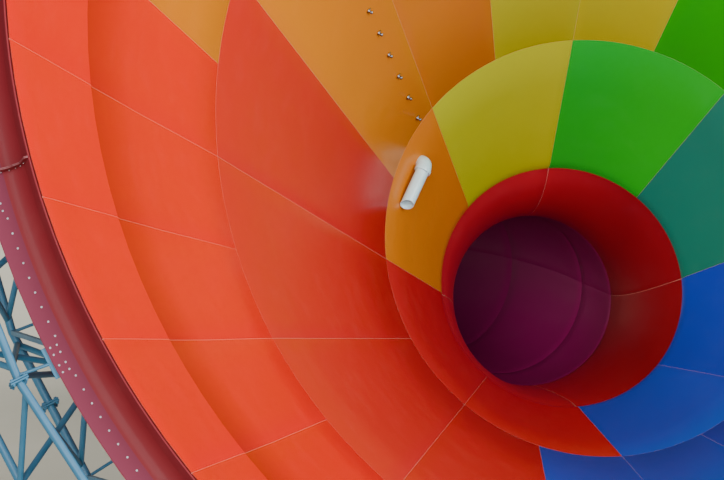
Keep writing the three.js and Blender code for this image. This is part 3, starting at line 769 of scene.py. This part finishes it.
def heading(travelled):
    levelled = min(travelled / LEVELLING_LENGTH, 1)
    fall = AXIS_RISE + (END_FALL - AXIS_RISE) * levelled
    turn = max(travelled - JOINTS[0], 0) * TURN_PER_METRE
    return Matrix.Rotation(turn, 4, "Z") @ Matrix.Rotation(math.pi / 2 - fall, 4, "X")


def nearness_to_bell(distance):
    """One where the bell meets the tunnel, none at the throat and at the first cradle."""
    first, cradle = JOINTS[0], JOINTS[2]
    return max(min(distance / first, (cradle - distance) / (cradle - first)), 0)


def tunnel_frame(distance):
    middle = on_funnel(0, BOTTOM_STEP, THROAT_DEPTH)
    travelled = 0.0
    while travelled < distance - 1e-9:
        length = min(STRIDE, distance - travelled)
        middle += heading(travelled + length / 2).to_3x3() @ Vector((0, 0, -length))
        travelled += STRIDE
    middle.x -= LEAN * nearness_to_bell(distance)
    return Matrix.Translation(middle) @ heading(distance)


tunnel_frames = {}


def tunnel_radius(distance):
    rest = max(1 - distance / JOINTS[0], 0)
    meeting = (inner_radius(THROAT_DEPTH) - THROAT_RADIUS) * rest ** 12
    widened = TUNNEL_RADIUS + WIDENING * nearness_to_bell(distance)
    return widened + (THROAT_RADIUS - TUNNEL_RADIUS) * rest * rest + meeting


def tunnel_place(u, v):
    distance = round(v[0], 4)
    if distance not in tunnel_frames:
        tunnel_frames[distance] = tunnel_frame(distance)
    radius = tunnel_radius(distance)
    step = u[0] + u[1] / (radius * STEP)
    return tunnel_frames[distance] @ at(radius + max(u[2], v[2]), step, v[1])


def stops_between(start, end, count):
    return [start + (end - start) * i / count for i in range(count + 1)]


def set_back(place, first, second):
    """Keeps a moulding's end flanges clear of the ring plates in its joints."""
    def placed(u, v):
        shift = {first[0]: first[1], second[0]: -second[1]}.get(v[0], 0)
        return place(u, (v[0], v[1] + shift, v[2]))
    return placed


bell_stops = stops_between(0, JOINTS[0], 14)
for i in range(4):
    chunk = tray(tunnel_place, (4 * i, 4 * i + 4), bell_stops, 24)
    piece(f"bell_quarter_{i + 1}", [chunk], [bell_gelcoat, backs["maroon"]],
          [f"exit_bell_{i + 1}"])
for i in range(3):
    start, end = JOINTS[i], JOINTS[i + 1]
    ends_place = set_back(tunnel_place, (start, RING_PLATE / 2 if i == 2 else 0),
                          (end, RING_PLATE / 2 if i else 0))
    stops = stops_between(start, end, round((end - start) / ROW_LENGTH))
    for half, first in (("upper", 0), ("lower", 8)):
        chunk = tray(ends_place, (first, first + 8), stops, 40)
        piece(f"tunnel_length_{i + 1}_{half}", [chunk], [tunnel_gelcoat, backs["maroon"]],
              [f"tunnel_{i + 1}_{half}"])


def tunnel_bead(step, distances, half=0.0022):
    return strip([[tunnel_place((step, side * half, rise), (distance, 0, rise))
                   for side, rise in BEAD_CORNERS] for distance in distances])


def joint_bead(distance, half=0.0018):
    radius = tunnel_radius(distance)
    profile = rectangle(radius + BEAD_TOP, radius + BEAD_BACK, -half, half)
    return revolved(profile, 0, 16, 96, frame=tunnel_frame(distance))


bell_beads = [tunnel_bead(step, bell_stops) for step in (0, 4, 8, 12)]
piece("bell_seams", bell_beads, [sealant])
tunnel_beads = [joint_bead(JOINTS[0]), joint_bead(JOINTS[1]), joint_bead(JOINTS[2], 0.0096)]
for start, end in zip(JOINTS, JOINTS[1:]):
    rows = round((end - start) / ROW_LENGTH)
    stops = stops_between(start + RING_PLATE, end - RING_PLATE, rows)
    tunnel_beads += [tunnel_bead(step, stops) for step in (0, 8)]
piece("tunnel_seams", tunnel_beads, [tunnel_gelcoat])
print("tunnel ends at", [round(x, 2) for x in tunnel_frame(JOINTS[-1]).translation])

# %% [markdown]
# ## Bolts
#
# Every joint between mouldings is bolted through its flanges. One small template is copied to
# many frames: a frame stands at a radius, step and depth, and its Z leaves the flange along the
# bolt. Bolts could be dots in a texture, but the row along the lip shows as bright heads with
# shadows, so they are all modelled, with their nuts.

# %% Bolts
PITCH = 0.25
UP_SEAM, UP_ROUND, HALF_JOINT, GRIP = 0.07, 0.075, 0.0145, 0.0285
RIM_CLEAR, END_CLEAR = 0.5, 0.12
LIP_ROW, LIP_PITCH, LIP_STEP = 9.525, 0.1735, 9.53 * STEP
CLUSTER_ROWS, CLUSTER_ASIDE = (9.552, 9.63), (-0.062, -0.147, 0.062, 0.147)


def facing(radius, step, depth, axis, base=FUNNEL):
    turn = (BOTTOM_STEP - step) * STEP
    out, front = Vector((math.sin(turn), -math.cos(turn), 0)), Vector((0, 0, 1))
    z = {"front": front, "out": out, "along": Vector((out.y, -out.x, 0))}[axis]
    x = front if axis == "out" else out
    aim = Matrix((x, z.cross(x), z)).transposed().to_4x4()
    return base @ Matrix.Translation(at(radius, step, depth)) @ aim


def bolts(name, template, frames):
    piece(name, [copies(template, frames)], [zinc])


flange_bolt = bolt_shape(0.012, GRIP)
seam_bolts = []
for ring in RINGS.values():
    first, last = ring["stops"][0] + RIM_CLEAR, ring["stops"][-1] - END_CLEAR
    depths = stops_between(first, last, round((last - first) / PITCH))
    for line in seam_steps(ring):
        for depth in depths:
            radius = inner_radius(depth) + UP_SEAM
            step = seam_step(line, depth) + HALF_JOINT / (radius * STEP)
            seam_bolts.append(facing(radius, step, depth, "along"))
for seam in (OUTER_SEAM, MIDDLE_SEAM, THROAT_DEPTH):
    radius = inner_radius(seam) + UP_ROUND
    count = round(radius * math.tau / PITCH / 16) * 16
    for i in range(count):
        seam_bolts.append(facing(radius, 16 * (i + 0.5) / count, seam - HALF_JOINT, "front"))
bolts("panel_flange_bolts", flange_bolt, seam_bolts)

lip_bolts = []
for step in (bay / 2 for bay in range(32)):
    lip_bolts += [(LIP_ROW, step + 0.25 + (i - 4) * LIP_PITCH / LIP_STEP) for i in range(9)]
    lip_bolts += [(row, step + aside / LIP_STEP) for aside in CLUSTER_ASIDE for row in CLUSTER_ROWS]
frames = [facing(radius, step, LIP_FLANGE_DEPTH, "front") for radius, step in lip_bolts]
bolts("lip_flange_bolts", bolt_shape(0.0105, 0.0455), frames)

fin_bolts = []
for i in range(8):
    step = LIP_FIRST + 2 * i + HALF_JOINT / (MOUTH_RADIUS * STEP)
    for radius, depth in fin_line[4:-2:4]:
        fin_bolts.append(facing(radius + 0.02, step, depth - 0.03, "along"))
bolts("lip_fin_bolts", bolt_shape(0.008, GRIP), fin_bolts)

tunnel_bolts = []
for start, end in zip([0, *JOINTS], JOINTS):
    steps = (0, 8) if start else (0, 4, 8, 12)
    start, end = start + END_CLEAR, end - END_CLEAR
    for distance in stops_between(start, end, round((end - start) / PITCH)):
        radius, place = tunnel_radius(distance) + UP_SEAM, tunnel_frame(distance)
        for step in steps:
            aside = step + HALF_JOINT / (radius * STEP)
            tunnel_bolts.append(facing(radius, aside, 0, "along", place))
for distance, plate in zip(JOINTS, (0, 0, 0.01, 0.01)):
    radius, place = tunnel_radius(distance) + UP_ROUND, tunnel_frame(distance)
    for i in range(32):
        tunnel_bolts.append(facing(radius, (i + 0.5) / 2, -HALF_JOINT - plate, "front", place))
bolts("tunnel_flange_bolts", flange_bolt, tunnel_bolts)
print("bolts:", sum(len(row) for row in (seam_bolts, lip_bolts, fin_bolts, tunnel_bolts)))

# %% [markdown]
# ## The ring truss
#
# Four ring chords are joined by tubes in a zigzag: one in front, one near the shell and two
# behind, half a bay round. A real chord is straight from node to node, so its round section is
# placed at each node. Plates bolted behind the lip's flange carry the rim, and the ring comes
# apart in four, at square splice plates that stand at a node.

# %% Ring truss
CHORDS = {"front": (10.07, 0.56, 0), "inner": (9.17, 2.2, 0), "rear": (9.53, 3.0, 0.25),
          "outer": (10.45, 1.6, 0.25)}
WEBS = [("front", "outer"), ("front", "rear"), ("inner", "rear"), ("inner", "outer")]
BAY, TRUSS_FIRST, WEB_SPREAD, ASIDE = 0.5, 3.0, 0.04, 0.016
CHORD_TUBE, WEB_TUBE, STRUT_TUBE, STUB_TUBE, BAR = 0.05, 0.036, 0.018, 0.075, 0.05
BRACKET = (0.235, 0.36, 0.016)
BRACKET_RADIUS, BRACKET_FRONT = 9.6075, 0.4246
SPLICE, SPLICE_THICKNESS, SPLICE_GAP, SPLICE_STEP = 0.21, 0.02, 0.004, 9.5 * STEP
FLANGE_STRUT, HAT_STRUT = 2.2, 2.9
FRONT_COLUMNS = [15.25, 14.25, 13.25, 12.25, 8.75, 9.75, 10.75, 11.75]
SEAT, SEAT_THICKNESS, SEAT_DROP = 0.3, 0.024, 0.62
SEAT_PLATE = (SEAT, SEAT, SEAT_THICKNESS)


def node(name, step):
    radius, depth, _ = CHORDS[name]
    return on_funnel(radius, step, depth)


def chord_radius(name, step):
    radius, _, shift = CHORDS[name]
    aside = (step - shift) % BAY - BAY / 2
    return radius * math.cos(BAY / 2 * STEP) / math.cos(aside * STEP)


def chord_part(name, first, last):
    _, depth, shift = CHORDS[name]
    nodes = [shift + BAY * i for i in range(-4, 60)]
    rows = []
    for step in [first, *[s for s in nodes if first < s < last], last]:
        radius = chord_radius(name, step)
        rows.append([on_funnel(radius + x, step, depth + y) for x, y in circle(CHORD_TUBE, 16)])
    return strip(rows)


def bolted_square(place, size, spread=0.36):
    """Four bolts near the corners of a square plate, as frames."""
    return [place @ Matrix.Translation((sx * spread * size, sy * spread * size, 0))
            for sx in (-1, 1) for sy in (-1, 1)]


splice_bolt, seat_bolt = bolt_shape(0.02, 2 * SPLICE_THICKNESS + SPLICE_GAP), bolt_shape(0.02, 0.05)
gap = SPLICE_GAP / 2 / SPLICE_STEP
for part in range(4):
    first = TRUSS_FIRST + 4 * part
    chunks, splice_places, seat_places = [], [], []
    for name, (_, depth, _) in CHORDS.items():
        chunks.append(chord_part(name, first + gap, first + 4 - gap))
        for step, side in ((first, 1), (first + 4, -1)):
            offset = side * (gap + SPLICE_THICKNESS / 2 / SPLICE_STEP)
            place = facing(chord_radius(name, step), step + offset, depth, "along")
            chunks.append(slab(place, (SPLICE, SPLICE, SPLICE_THICKNESS)))
            if side > 0:
                splice_places += bolted_square(lifted(place, SPLICE_THICKNESS / 2), SPLICE)
    for bay in range(8):
        step = first + bay * BAY
        middle, aside = step + BAY / 2, step + ASIDE
        for near, far in WEBS:
            for at_node, side in ((step, 1), (step + BAY, -1)):
                start = node(near, at_node + side * WEB_SPREAD)
                end = node(far, at_node + side * (BAY / 2 - WEB_SPREAD))
                chunks.append(tube(start, end, WEB_TUBE, 12))
        front, inner, rear = node("front", aside), node("inner", aside), node("rear", middle)
        chunks.append(tube(front, inner, WEB_TUBE, 12))
        plate = facing(BRACKET_RADIUS, step, BRACKET_FRONT + BRACKET[2] / 2, "front")
        chunks.append(slab(plate, BRACKET))
        top = on_funnel(BRACKET_RADIUS + 0.1, step, BRACKET_FRONT + 0.01)
        flange = on_funnel(inner_radius(FLANGE_STRUT) + SKIN + 0.06, aside, FLANGE_STRUT)
        hat = on_funnel(inner_radius(HAT_STRUT) + SKIN + HAT_HEIGHT, middle, HAT_STRUT)
        for start, end in ((top, front), (flange, inner), (hat, rear)):
            chunks.append(tube(start, end, STRUT_TUBE, 10))
        foot = on_funnel(BRACKET_RADIUS, step + 0.05, BRACKET_FRONT + BRACKET[2] + 0.006)
        length = (rear - foot).length
        chunks.append(slab(lifted(frame_along(foot, rear), length / 2), (BAR, BAR, length)))
    for step in FRONT_COLUMNS:
        if int((step - TRUSS_FIRST) % 16 // 4) == part:
            top = node("outer", step)
            chunks.append(tube(top, below(top, SEAT_DROP), STUB_TUBE))
            under = Matrix.Translation(below(top, SEAT_DROP - SEAT_THICKNESS / 2))
            chunks.append(slab(under, SEAT_PLATE))
            seat_places += bolted_square(lifted(under, SEAT_THICKNESS / 2), SEAT, 0.4)
    chunks.append(copies(splice_bolt, splice_places))
    chunks.append(copies(seat_bolt, seat_places, 1))
    steelwork(f"ring_truss_part_{part + 1}", chunks, f"ring_truss_{part + 1}")
print("truss parts: 4, webs:", 32 * 8)

# %% [markdown]
# ## Columns and cradles
#
# Round tubes stand on base plates with gussets and anchor bolts. Those in front end in a plate
# under a seat of the ring truss. The others are welded to hoops of box section, which are bolted
# behind the tall flanges of the panels, and thinner tubes brace them just above the ground.

# %% Columns, hoops and braces
COLUMN_TUBE, BRACE_TUBE = 0.084, 0.045
FOOT, FOOT_THICKNESS, ANCHOR = 0.46, 0.028, 0.17
GUSSET_REACH, GUSSET_HEIGHT, GUSSET_THICKNESS, GUSSET_TIP = 0.12, 0.2, 0.012, 0.02
BRACE_LEVEL = 0.7
HOOP_HEIGHT, HOOP_DEPTH, HOOP_EASE, COLUMN_INSET = 0.13, 0.12, 0.012, 0.09
HOOP_OUT, HOOP_BACK, HOOP_BOLT_OUT, HOOP_PITCH = 0.138, 0.0155, 0.06, 0.5
SEAT_GAP, RING_OUT, RING_IN = 0.0003, 0.13, 0.0125
anchor_bolt = bolt_shape(0.024)


def gusset(place):
    outline = ((0, 0), (GUSSET_REACH, 0), (GUSSET_REACH, GUSSET_TIP), (GUSSET_TIP, GUSSET_HEIGHT),
               (0, GUSSET_HEIGHT))
    return strip([[place @ Vector((x, y, z)) for x, z in outline]
                  for y in (-GUSSET_THICKNESS / 2, GUSSET_THICKNESS / 2)])


def column(top):
    ground = Matrix.Translation((top.x, top.y, 0))
    plate = lifted(ground, FOOT_THICKNESS)
    chunks = [tube(ground @ Vector((0, 0, 0.02)), top, COLUMN_TUBE, 24),
              slab(lifted(ground, FOOT_THICKNESS / 2), (FOOT, FOOT, FOOT_THICKNESS))]
    for i in range(4):
        side = Matrix.Rotation(i * math.pi / 2, 4, "Z")
        chunks.append(gusset(plate @ side @ Matrix.Translation((COLUMN_TUBE - 0.004, 0, 0))))
    chunks.append(copies(anchor_bolt, bolted_square(plate, FOOT, ANCHOR / FOOT), 1))
    return chunks


for name, steps in (("front_left_columns", FRONT_COLUMNS[:4]),
                    ("front_right_columns", FRONT_COLUMNS[4:])):
    tops = [below(node("outer", step), SEAT_DROP + SEAT_THICKNESS + SEAT_GAP) for step in steps]
    chunks = []
    for i, top in enumerate(tops):
        chunks += column(top)
        chunks.append(slab(lifted(Matrix.Translation(top), SEAT_THICKNESS / 2), SEAT_PLATE))
        if i:
            low = min(BRACE_LEVEL, top.z / 2)
            start = Vector((*tops[i - 1].xy, low))
            chunks.append(tube(start, Vector((*top.xy, low)), BRACE_TUBE, 12))
            chunks.append(tube(start, below(top, SEAT), BRACE_TUBE, 12))
    steelwork(f"{name}_tubes", chunks, name)


def rounded(inner, front):
    outer, rear, ease = inner + HOOP_HEIGHT, front + HOOP_DEPTH - 0.003, HOOP_EASE
    return [(inner + ease, front), (outer - ease, front), (outer, front + ease),
            (outer, rear - ease), (outer - ease, rear), (inner + ease, rear), (inner, rear - ease),
            (inner, front + ease)]


for name, seam, steps in (("middle_cradle", OUTER_SEAM, [15, 13, 9, 11]),
                          ("throat_cradle", MIDDLE_SEAM, [14.75, 9.25])):
    inner, front = inner_radius(seam) + HOOP_OUT, seam + HOOP_BACK
    chunks = [revolved(rounded(inner, front), 0, 16, 64)]
    feet = []
    for step in steps:
        top = on_funnel(inner + HOOP_HEIGHT / 2, step, seam + 0.01245 + COLUMN_INSET)
        chunks += column(top)
        feet.append(Vector((*top.xy, BRACE_LEVEL)))
    half = len(feet) // 2
    pairs = [(i, i + half) for i in range(half)]
    pairs += [(i - 1 + side, i + side) for i in range(1, half) for side in (0, half)]
    chunks += [tube(feet[i], feet[j], BRACE_TUBE, 12) for i, j in pairs]
    count = round(inner * math.tau / HOOP_PITCH / 16) * 16
    places = [facing(inner + HOOP_BOLT_OUT, 16 * (i + 0.5) / count, seam + 0.003, "front")
              for i in range(count)]
    chunks.append(copies(bolt_shape(0.016), places, 1))
    steelwork(f"{name}_tubes", chunks, name)

for index, joint in ((1, JOINTS[2]), (2, JOINTS[3])):
    place = tunnel_frame(joint)
    outer = TUNNEL_RADIUS + TUNNEL_WALL + FLANGE + RING_OUT
    plate = rectangle(TUNNEL_RADIUS + RING_IN, outer, -RING_PLATE / 2, RING_PLATE / 2)
    chunks = [revolved(plate, 0, 16, 96, frame=place)]
    feet = []
    for step in (15.7, 8.3):
        top = place @ at(outer, step, 0)
        chunks += column(top)
        feet.append(Vector((*top.xy, BRACE_LEVEL)))
    chunks.append(tube(feet[0], feet[1], BRACE_TUBE, 12))
    steelwork(f"tunnel_cradle_{index}_ring", chunks, f"tunnel_cradle_{index}")
print("columns and cradles: 6")

# %% [markdown]
# ## Jet pipe and nozzles
#
# A jet pipe comes in through the throat's wall from behind, turns in a short elbow and lies along
# the wall. A circle is carried along its middle line, the elbow is a thicker piece on the same
# line, and the outlet is cut slantwise. Above it a row of ball nozzles pokes through the wall
# from a spray bar behind it.

# %% Jet pipe and spray nozzles
JET_RADIUS, JET_WALL, ELBOW, ELBOW_RADIUS, SOCKET_RADIUS = 0.095, 0.01, 0.12, 0.112, 0.119
JET_TAIL, JET_CORNER = (2.94, 1.565, 13.19), (2.668, 1.45, 12.628)
JET_OUTLET, JET_SLANT = (2.723, 0.816, 12.58), 0.45
SPRAY_STEP, SPRAY_COUNT, SPRAY_FIRST, SPRAY_PITCH = 1.75, 10, 12.053, 0.511
SPRAY_BAR, SPRAY_STANDOFF, NOZZLE, NOZZLE_REACH = 0.045, 0.2, 0.024, 0.07

tail, corner, outlet = (at(*spot) for spot in (JET_TAIL, JET_CORNER, JET_OUTLET))
to_tail, to_outlet = (tail - corner).normalized(), (outlet - corner).normalized()
square_on = to_tail.cross(to_outlet).normalized()


def carried(line, radius, slant=0.0):
    """Rings of points along a flat line, the last one cut slantwise."""
    rings = []
    for i, point in enumerate(line):
        along = (line[min(i + 1, len(line) - 1)] - line[max(i - 1, 0)]).normalized()
        across = along.cross(square_on)
        across += (slant if i == len(line) - 1 else 0.0) * along
        rings.append([FUNNEL @ (point + x * across + y * square_on) for x, y in circle(radius, 32)])
    return rings


def sleeve(line, outer, inner, slant=0.0):
    return strip(carried(line, outer, slant) + carried(line, inner, slant)[::-1], looped=True)


elbow = [corner + ELBOW * ((1 - t) ** 2 * to_tail + t ** 2 * to_outlet)
         for t in (i / 10 for i in range(11))]
pipe = sleeve([tail, *elbow, outlet], JET_RADIUS, JET_RADIUS - JET_WALL, JET_SLANT)
fitting = sleeve([corner + 0.2 * to_tail, *elbow], ELBOW_RADIUS, JET_RADIUS - 0.002)
socket = sleeve([corner + 0.08 * to_outlet, corner + (ELBOW + 0.005) * to_outlet], SOCKET_RADIUS,
                JET_RADIUS - 0.001)
piece("jet_pipe_run", [pipe, fitting, socket], [white_pvc], ["jet_pipe"])


def spray_point(depth, standoff):
    return on_funnel(inner_radius(depth) + standoff, SPRAY_STEP, depth)


depths = [SPRAY_FIRST - i * SPRAY_PITCH for i in range(SPRAY_COUNT)]
start = spray_point(SPRAY_FIRST + SPRAY_BAR, SPRAY_STANDOFF)
end = spray_point(SPRAY_FIRST - (SPRAY_COUNT - 0.5) * SPRAY_PITCH, SPRAY_STANDOFF)
chunks = [tube(start, end, SPRAY_BAR, 20)]
for depth in depths:
    root, tip = spray_point(depth, SPRAY_STANDOFF), spray_point(depth, -NOZZLE_REACH)
    place = frame_along(root, tip)
    length = (tip - root).length
    neck = NOZZLE * 0.8
    reach = [(0, 0.03), (0.03, 0.03), (0.032, neck), (length - 0.05, neck)]
    ball = [(length - NOZZLE * (1 + math.cos(a)), NOZZLE * math.sin(a))
            for a in (0.65, 1.1, 1.57, 2.1, 2.6)]
    chunks.append(turned(place, reach + ball, 12))
    wall = facing(inner_radius(depth) - 0.004, SPRAY_STEP, depth, "out")
    plate = [wall @ Vector((0, 0, z)) for z in (-0.004, 0.006)]
    chunks.append(tube(*plate, NOZZLE * 1.9, 16))
piece("spray_bar_run", chunks, [stainless], ["spray_bar"])
print("nozzles:", SPRAY_COUNT)

# %% [markdown]
# ## Floor and light
#
# The studio has a plain pale floor and weak light from all round. A broad key from the right
# gives the left wall its brightness, and a weaker fill from in front keeps the throat and the
# lip from going dark.

# %% Stage
floor_material = plain("pale_studio_floor", "#cfc9b4", "#d6d1bf", 3.0, roughness=0.8)
bpy.ops.mesh.primitive_plane_add(size=400, location=(0, 0, -0.001))
floor = bpy.context.object
floor.name = "floor"
floor.data.materials.append(floor_material)

world = bpy.data.worlds.new("studio")
world.use_nodes = True
world.node_tree.nodes["Background"].inputs["Color"].default_value = linear("#e9f0f6")
world.node_tree.nodes["Background"].inputs["Strength"].default_value = 0.3
scene.world = world

LAMPS = ("key", 4.6, (0.9, -0.816, 0.587)), ("fill", 3.2, (-0.35, -0.916, 0.413))
for name, energy, source in LAMPS:
    lamp = bpy.data.objects.new(name, bpy.data.lights.new(name, "SUN"))
    lamp.data.energy = energy
    lamp.data.angle = math.radians(40)
    lamp.rotation_euler = Vector(source).to_track_quat("Z", "Y").to_euler()
    scene.collection.objects.link(lamp)
print("stage set")

# %% [markdown]
# ## Last update
#
# The last line brings the view layer up to date.

# %% Last update
bpy.context.view_layer.update()
